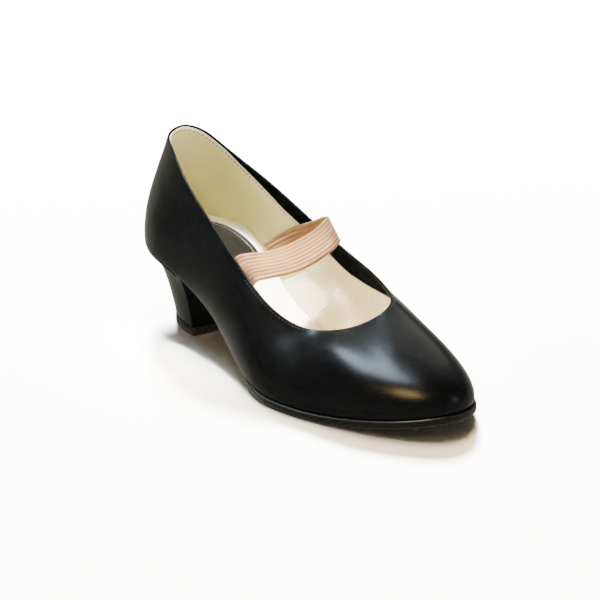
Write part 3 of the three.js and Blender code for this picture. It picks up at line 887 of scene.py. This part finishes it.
class SHOE_OT_bottom(bpy.types.Operator):
    """Builds the outsole and the insole with its sock"""

    bl_idname = "shoe.bottom"
    bl_label = "Outsole and insole"

    def execute(self, context):
        sizes, colours, last = settings(context)
        u = np.arange(0, ROWS, 0.08)
        rungs = 24
        rubber = moulded_material(
            "moulded sole rubber, edge inked and buffed", srgb(colours.sole), roughness=0.42,
            speck_pitch=0.5 * MM, speck_depth=0.03 * MM,
        )

        def underside(x):
            return -sizes.fit_gap - last.sole_thickness(x)

        rings = edge_rings(last, u, last.sole_margin, underside, lambda x: 0.0, radius=0.8 * MM, steps=6)
        sole = stacked_piece(
            "outsole_edge", rings, rubber, rungs,
            lambda points: last.feather_below(points) + underside(points[..., 0] - last.origin[0]),
            last.feather_below,
        )
        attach(sole, "root")
        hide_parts("outsole")

        inset = sizes.upper_wall + sizes.fit_gap / 3
        rings = edge_rings(
            last, u, lambda x: -inset, lambda x: 0.0, lambda x: sizes.insole_thickness,
            radius=0.7 * MM, steps=5,
        )
        sock = sock_material("ivory sock leather, pressed flat", srgb(colours.sock), 0.55)
        insole = stacked_piece(
            "insole_sock", rings, sock, rungs, last.feather_below,
            lambda points: last.feather_below(points) + sizes.insole_thickness,
        )
        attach(insole, "root")
        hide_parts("insole")
        return {"FINISHED"}


def pad_ring(last, inset, lift, count):
    """The heel pad's outline, an oval a little squarer than an ellipse, laid on the insole."""
    sizes = last.sizes
    squareness = 2.4
    angle = np.arange(count) * 2 * math.pi / count
    round_off = 2 / squareness
    ahead, aside = (np.sign(wave) * np.abs(wave) ** round_off for wave in (np.cos(angle), np.sin(angle)))
    x = sizes.pad_from_back + sizes.pad_length / 2 - (sizes.pad_length / 2 - inset) * ahead
    y = sizes.pad_shift - (sizes.pad_width / 2 - inset) * aside
    return last.place(x, y, last.feather_height(x) + sizes.insole_thickness + lift)


class SHOE_OT_pad(bpy.types.Operator):
    """Builds the stitched heel pad"""

    bl_idname = "shoe.pad"
    bl_label = "Heel pad"

    def execute(self, context):
        sizes, colours, last = settings(context)
        thick = sizes.pad_thickness + sizes.fit_gap
        radius = thick / 2
        steps = [(0.0, 0.0), (0.0, radius)]
        for angle in np.linspace(0, math.pi / 2, 6)[1:]:
            steps.append((radius * (1 - math.cos(angle)), radius + radius * math.sin(angle)))
        furrow_at, furrow_half, furrow_depth = 2.6 * MM, 0.5 * MM, 0.22 * MM
        for share in np.linspace(-1, 1, 9):
            depth = furrow_depth * (0.5 + 0.5 * math.cos(math.pi * share))
            steps.append((furrow_at + share * furrow_half, thick - depth))
        rings = [pad_ring(last, inset, lift, 160) for inset, lift in steps]
        leather = leather_material(
            "dark brown pad leather, glazed", srgb(colours.pad), roughness=0.42,
            pore_pitch=0.7 * MM, pore_depth=0.04 * MM, wave=0.1 * MM, specular=0.2,
        )

        def surface(points):
            return last.feather_below(points) + sizes.insole_thickness

        pad = stacked_piece(
            "heel_pad_leather", rings, leather, 20, surface, lambda points: surface(points) + thick,
        )
        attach(pad, "root")
        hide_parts("heel_pad")

        ring = pad_ring(last, furrow_at, thick - furrow_depth * 0.6, 720)
        closed = np.concatenate([ring, ring[:1]])
        upright = np.tile((0.0, 0.0, 1.0), (len(closed), 1))
        length = walked_along(closed)[-1]
        count = round(length / (2.2 * MM))
        blocks = stitches_along(
            closed, upright, count, length / count, gap=0.7 * MM, radius=0.2 * MM,
            bow=(-0.5, 0.3, 0.5, 0.3, -0.5),
        )
        thread = thread_material("pale polyester thread on the pad", srgb("#9a8f78"))
        stitches = joined_piece("heel_pad_stitches", blocks, thread)
        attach(stitches, "root")
        return {"FINISHED"}


def base_outline(last, angle, side, grow):
    """Half of a D, from the middle of its back to its flat front."""
    sizes = last.sizes
    x = sizes.breast_from_back - (sizes.heel_base_length + grow) * np.cos(angle) + grow * np.sin(angle)
    y = sizes.heel_base_shift + side * (sizes.heel_base_width / 2 + grow) * np.sin(angle)
    return x, y


def seat_outline(last, angle, side, grow):
    """The same for the top of the heel, along the outsole's edge."""
    sizes = last.sizes
    back = sizes.heel_inset - sizes.waist_margin - grow
    x = sizes.breast_from_back - (sizes.breast_from_back - back) * np.cos(angle)
    rows = np.linspace(0, TOE_ROW, 4001)
    u = rows if side < 0 else ROWS - rows
    edge = last.feather(u) - last.outward(u) * back - last.origin
    forward = np.maximum.accumulate(edge[:, 0])
    return x, np.interp(x, forward, edge[:, 1])


def heel_ring(last, halves):
    """Both halves of a ring round the heel, joined, with the corners between its sides and breast rounded."""
    bevel, corner_steps, clear = 1.2 * MM, 5, 0.2 * MM
    turn = np.linspace(0, math.pi / 2, corner_steps)
    joined = []
    for half in halves:
        half = np.stack(half, axis=-1)
        side = np.sign(half[-1, 1])
        centre = half[-1] - (bevel, side * bevel, 0)
        arc = centre + bevel * np.stack([np.sin(turn), side * np.cos(turn), 0 * turn], axis=-1)
        body = half[half[:, 0] < centre[0] - clear]
        walked = walked_along(body)
        even = at_distances(np.linspace(0, walked[-1], len(half) - 1), walked, body)
        joined.append(np.concatenate([even, arc]))
    middle = (joined[0][-1] + joined[1][-1]) / 2
    return np.concatenate([joined[0], middle[None], joined[1][::-1][:-1]]) + last.origin


def level(height):
    """A flat end for a stacked piece."""
    return lambda points: np.full(points.shape[:-1], height)


class SHOE_OT_heel(bpy.types.Operator):
    """Builds the leather-covered heel and its top piece"""

    bl_idname = "shoe.heel"
    bl_label = "Heel and top piece"

    def execute(self, context):
        sizes, colours, last = settings(context)
        sides, angles = (-1, 1), np.linspace(0, math.pi / 2, 37)
        hollows = np.linspace(0.48, 0.53, len(angles))  # the less, the hollower, from the back to the breast
        lap = 0.4 * MM  # the cover stands this much outside the outsole's edge and hides it
        sunk = 0.1 * MM  # its top lies this far inside the outsole, so that no gap shows
        breast, high = sizes.breast_from_back, sizes.top_piece_thickness

        def seat_at(x):
            return last.feather_height(x) - sizes.fit_gap - sizes.waist_sole_thickness + sunk

        outlines = [
            (*seat_outline(last, angles, side, lap), *base_outline(last, angles, side, 0)) for side in sides
        ]
        rings = []
        for drop in np.linspace(0, 1, 49)[::-1] ** 1.6:
            share = drop**hollows
            rings.append(heel_ring(last, [
                (
                    seat_x + (base_x - seat_x) * share,
                    seat_y + (base_y - seat_y) * share,
                    seat_at(seat_x) + (high - seat_at(seat_x)) * drop,
                )
                for seat_x, seat_y, base_x, base_y in outlines
            ]))
        cover = leather_material(
            "black heel cover calf, wrapped and polished", srgb(colours.leather), roughness=0.22,
            pore_pitch=0.55 * MM, pore_depth=0.02 * MM, wave=0.25 * MM, ior=1.3, specular=0.04,
        )
        # From the sides of the heel a thin lip of the cover runs up over the outsole's edge to the upper.
        seat = rings[-1]
        lip_height, lip_thickness = sizes.fit_gap + sizes.waist_sole_thickness - 0.2 * MM, 0.15 * MM
        front = smoothstep(seat[:, 0] - last.origin[0], breast - 5 * MM, breast - 2 * MM)
        rise = np.outer(lip_height * (1 - front), (0, 0, 1))
        inward = unit((seat.mean(axis=0) - seat) * (1, 1, 0)) * lip_thickness
        rings += [seat + rise, seat + rise + inward, seat + inward]
        heel = stacked_piece(
            "heel_cover", rings, cover, 16, level(high),
            lambda points: seat_at(points[..., 0] - last.origin[0]),
        )
        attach(heel, "root")
        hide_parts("heel")

        lip, soft, top_bevel = 0.25 * MM, 0.6 * MM, 0.2 * MM
        turns = np.linspace(0, math.pi / 2, 5)
        steps = [(lip - soft + soft * math.sin(a), soft - soft * math.cos(a)) for a in turns]
        steps += [(lip, high - lip), (lip - top_bevel, high)]
        rings = []
        for grow, z in steps:
            halves = [base_outline(last, angles, side, grow) for side in sides]
            rings.append(heel_ring(last, [(x, y, np.full(x.shape, z)) for x, y in halves]))
        rubber = moulded_material(
            "top piece rubber, moulded and trimmed", srgb(colours.top_piece), roughness=0.6,
            speck_pitch=0.4 * MM, speck_depth=0.04 * MM,
        )
        top_piece = stacked_piece("heel_top_rubber", rings, rubber, 12, level(0.0), level(high))
        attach(top_piece, "root")
        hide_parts("heel_top_piece")
        return {"FINISHED"}


def centripetal_curve(points, shares):
    """Points along an open centripetal Catmull-Rom curve, at shares of its number of spans."""
    points = np.asarray(points)
    padded = np.concatenate([[2 * points[0] - points[1]], points, [2 * points[-1] - points[-2]]])
    spans = len(points) - 1
    place = np.clip(shares, 0, 1) * spans
    start = np.minimum(place.astype(int), spans - 1)
    t = (place - start)[:, None]
    corners = [padded[start + step] for step in range(4)]
    d0, d1, d2 = (np.sqrt(np.linalg.norm(b - a, axis=-1, keepdims=True)) for a, b in zip(corners, corners[1:]))
    p0, p1, p2, p3 = corners
    m1 = ((p1 - p0) / d0 - (p2 - p0) / (d0 + d1) + (p2 - p1) / d1) * d1
    m2 = ((p2 - p1) / d1 - (p3 - p1) / (d1 + d2) + (p3 - p2) / d2) * d1
    return p1 + m1 * t + (-3 * p1 + 3 * p2 - 2 * m1 - m2) * t**2 + (2 * p1 - 2 * p2 + m1 + m2) * t**3


class SHOE_OT_strap(bpy.types.Operator):
    """Builds the corded elastic strap"""

    bl_idname = "shoe.strap"
    bl_label = "Elastic strap"

    def execute(self, context):
        sizes, colours, last = settings(context)
        table = np.array(STRAP_STATIONS)
        shares = np.linspace(0, 1, 280)
        edges = []
        for along, across, lift in (table[:, :3].T, table[:, 3:].T):
            x = along * sizes.length
            z = last.feather_height(x) + lift * sizes.throat_height
            edges.append(centripetal_curve(last.place(x, across * sizes.ball_width, z), shares))
        rear, front = edges
        middle = (rear + front) / 2
        walked = walked_along(middle)
        face = unit(np.cross(unit(np.gradient(middle, axis=0)), unit(front - rear)))
        cords, steps_per_cord = sizes.strap_cords, 7
        w = np.linspace(0, 1, steps_per_cord * cords + 1)
        cord = np.abs(np.sin(math.pi * cords * w)) ** 0.7
        half = sizes.strap_thickness / 2
        height = half * (0.5 + 0.5 * cord)
        height[0] = height[-1] = half * 0.35
        flat = rear[:, None] + (front - rear)[:, None] * w[None, :, None]
        swell = face[:, None] * height[None, :, None]
        grid = np.concatenate([flat + swell, (flat - swell)[:, ::-1]], axis=1)
        ridge = np.concatenate([cord, cord[::-1], cord[:1]])
        uv = np.stack(np.broadcast_arrays(walked[:, None], ridge[None, :]), axis=-1)
        elastic = elastic_material(
            "beige corded elastic, braided polyester over rubber", srgb(colours.elastic),
            srgb(colours.elastic_shade), pick_pitch=0.9 * MM,
        )
        strap = mesh_object(
            "strap_elastic", grid.reshape(-1, 3), tube_faces(*grid.shape[:2]), elastic, tube_uvs(uv),
        )
        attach(strap, "root")
        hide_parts("elastic_strap")
        return {"FINISHED"}


def area_light(name, target, direction, distance, size, power, colour, long_side):
    """A soft rectangular light that looks at the target from a direction, its long side laid along another."""
    data = bpy.data.lights.new(name, "AREA")
    data.shape = "RECTANGLE"
    data.size, data.size_y = size
    data.energy = power
    data.color = colour
    lamp = bpy.data.objects.new(name, data)
    away = Vector(direction).normalized()
    across = away.cross(Vector(long_side)).normalized()
    rotation = Matrix((across.cross(away), across, away)).transposed()
    lamp.matrix_world = Matrix.Translation(target + away * distance) @ rotation.to_4x4()
    bpy.context.scene.collection.objects.link(lamp)
    return lamp


class SHOE_OT_stage(bpy.types.Operator):
    """Builds the floor, the lights and the camera"""

    bl_idname = "shoe.stage"
    bl_label = "Stage"

    def execute(self, context):
        scene = context.scene
        stage = scene.shoe_stage

        half, drop = 0.95, 0.2 * MM  # the floor lies just under the shoe, so that no two faces share a plane
        mesh = bpy.data.meshes.new("floor")
        corners = [(x * half, y * half, -drop) for x, y in ((-1, -1), (1, -1), (1, 1), (-1, 1))]
        mesh.from_pydata(corners, [], [(0, 1, 2, 3)])
        floor = bpy.data.objects.new("floor", mesh)
        material, tree = new_material("painted studio floor, matt")
        place = add_node(tree, "ShaderNodeTexCoord").outputs["Object"]
        cloud = add_node(
            tree, "ShaderNodeTexNoise", {"Scale": 1 / (500 * MM), "Detail": 2.0}, {"Vector": place},
        ).outputs["Fac"]
        colour = srgb(stage.floor_colour)
        base = two_tone(tree, cloud, shaded(colour, 0.99), colour)
        finish_material(material, tree, {"Roughness": 0.7}, {"Base Color": base})
        mesh.materials.append(material)
        scene.collection.objects.link(floor)
        # Glossy rays see the dim lower half of the world in its place: the lit floor would grey the black calf.
        floor.visible_glossy = False

        world = bpy.data.worlds.new("studio")
        world.use_nodes = True
        tree = world.node_tree
        direction = add_node(tree, "ShaderNodeTexCoord").outputs["Generated"]
        rise = add_node(tree, "ShaderNodeSeparateXYZ", links={0: direction}).outputs["Z"]
        above, deep = (
            add_node(
                tree, "ShaderNodeMapRange", {"From Min": start, "From Max": end}, {"Value": rise},
            ).outputs[0]
            for start, end in ((-0.05, 0.1), (-0.3, -0.6))
        )
        below = two_tone(tree, deep, (0.75, 0.72, 0.55, 1.0), (0.9, 0.87, 0.68, 1.0))
        glow = two_tone(tree, above, below, (0.13, 0.11, 0.08, 1.0))
        # The bright floor behind and beside the shoe, as its waist and the turned-in edges reflect it.
        low_back = Vector((-0.8, -0.2, -0.55)).normalized()
        toward = add_node(
            tree, "ShaderNodeVectorMath", {1: low_back}, {0: direction}, operation="DOT_PRODUCT",
        ).outputs["Value"]
        rim = add_node(
            tree, "ShaderNodeMapRange", {"From Min": 0.85, "From Max": 1.0}, {"Value": toward},
        ).outputs[0]
        glow = two_tone(tree, rim, glow, (1.4, 1.37, 1.12, 1.0))
        tree.links.new(glow, tree.nodes["Background"].inputs["Color"])
        scene.world = world

        # The camera, as it was fitted to the photo's edges, and how far its axis passes beside the target.
        target = Vector((-0.00028, 0.00247, 0.035))
        shift_right, shift_down = 0.15 * MM, 1.0 * MM
        camera_data = bpy.data.cameras.new("camera")
        camera_data.sensor_width = 36
        camera_data.lens = 305.7
        camera_data.clip_end = 20
        camera = bpy.data.objects.new("camera", camera_data)
        a, e, roll = stage.azimuth, stage.elevation, stage.roll
        back = Vector((math.sin(a) * math.cos(e), -math.cos(a) * math.cos(e), math.sin(e)))
        right = (-back).cross(Vector((0, 0, 1))).normalized()
        up = right.cross(-back)
        turned_right = right * math.cos(roll) + up * math.sin(roll)
        turned_up = -right * math.sin(roll) + up * math.cos(roll)
        place = target + back * stage.distance + turned_right * shift_right - turned_up * shift_down
        rotation = Matrix((turned_right, turned_up, back)).transposed()
        camera.matrix_world = Matrix.Translation(place) @ rotation.to_4x4()
        scene.collection.objects.link(camera)
        scene.camera = camera

        inside = target + Vector((-0.03, 0.0, 0.015))
        for name, unseen_by, direction, distance, size, colour, long_side in LIGHTS:
            aim, power = inside if name == "inner" else target, getattr(stage, name + "_power")
            light = area_light(name + "_light", aim, direction, distance, size, power, colour, long_side)
            setattr(light, unseen_by, False)
            if name == "inner":
                light.data.spread = math.radians(7.5)
        return {"FINISHED"}


OPERATORS = (
    SHOE_OT_stage, SHOE_OT_upper, SHOE_OT_linings, SHOE_OT_stitches, SHOE_OT_bottom, SHOE_OT_pad, SHOE_OT_heel,
    SHOE_OT_strap,
)


class SHOE_PT_sidebar(bpy.types.Panel):
    """Lists the shoe's sizes, colours and pieces"""

    bl_idname = "SHOE_PT_sidebar"
    bl_label = "Flamenco shoe"
    bl_space_type = "VIEW_3D"
    bl_region_type = "UI"
    bl_category = "Shoe"

    def draw(self, context):
        for operator in OPERATORS:
            self.layout.operator(operator.bl_idname)
        for group in (context.scene.shoe_sizes, context.scene.shoe_colours, context.scene.shoe_stage):
            box = self.layout.box()
            for name in group.bl_rna.properties.keys():
                if name not in ("rna_type", "name"):
                    box.prop(group, name)


GROUPS = (ShoeSizes, ShoeColours, StageSettings)


def register():
    for kind in (*GROUPS, *OPERATORS, SHOE_PT_sidebar):
        bpy.utils.register_class(kind)
    bpy.types.Scene.shoe_sizes = PointerProperty(type=ShoeSizes)
    bpy.types.Scene.shoe_colours = PointerProperty(type=ShoeColours)
    bpy.types.Scene.shoe_stage = PointerProperty(type=StageSettings)


def unregister():
    del bpy.types.Scene.shoe_stage
    del bpy.types.Scene.shoe_colours
    del bpy.types.Scene.shoe_sizes
    for kind in reversed((*GROUPS, *OPERATORS, SHOE_PT_sidebar)):
        bpy.utils.unregister_class(kind)


def main():
    register()
    for operator in OPERATORS:
        family, name = operator.bl_idname.split(".")
        getattr(getattr(bpy.ops, family), name)()


if __name__ == "__main__":
    main()
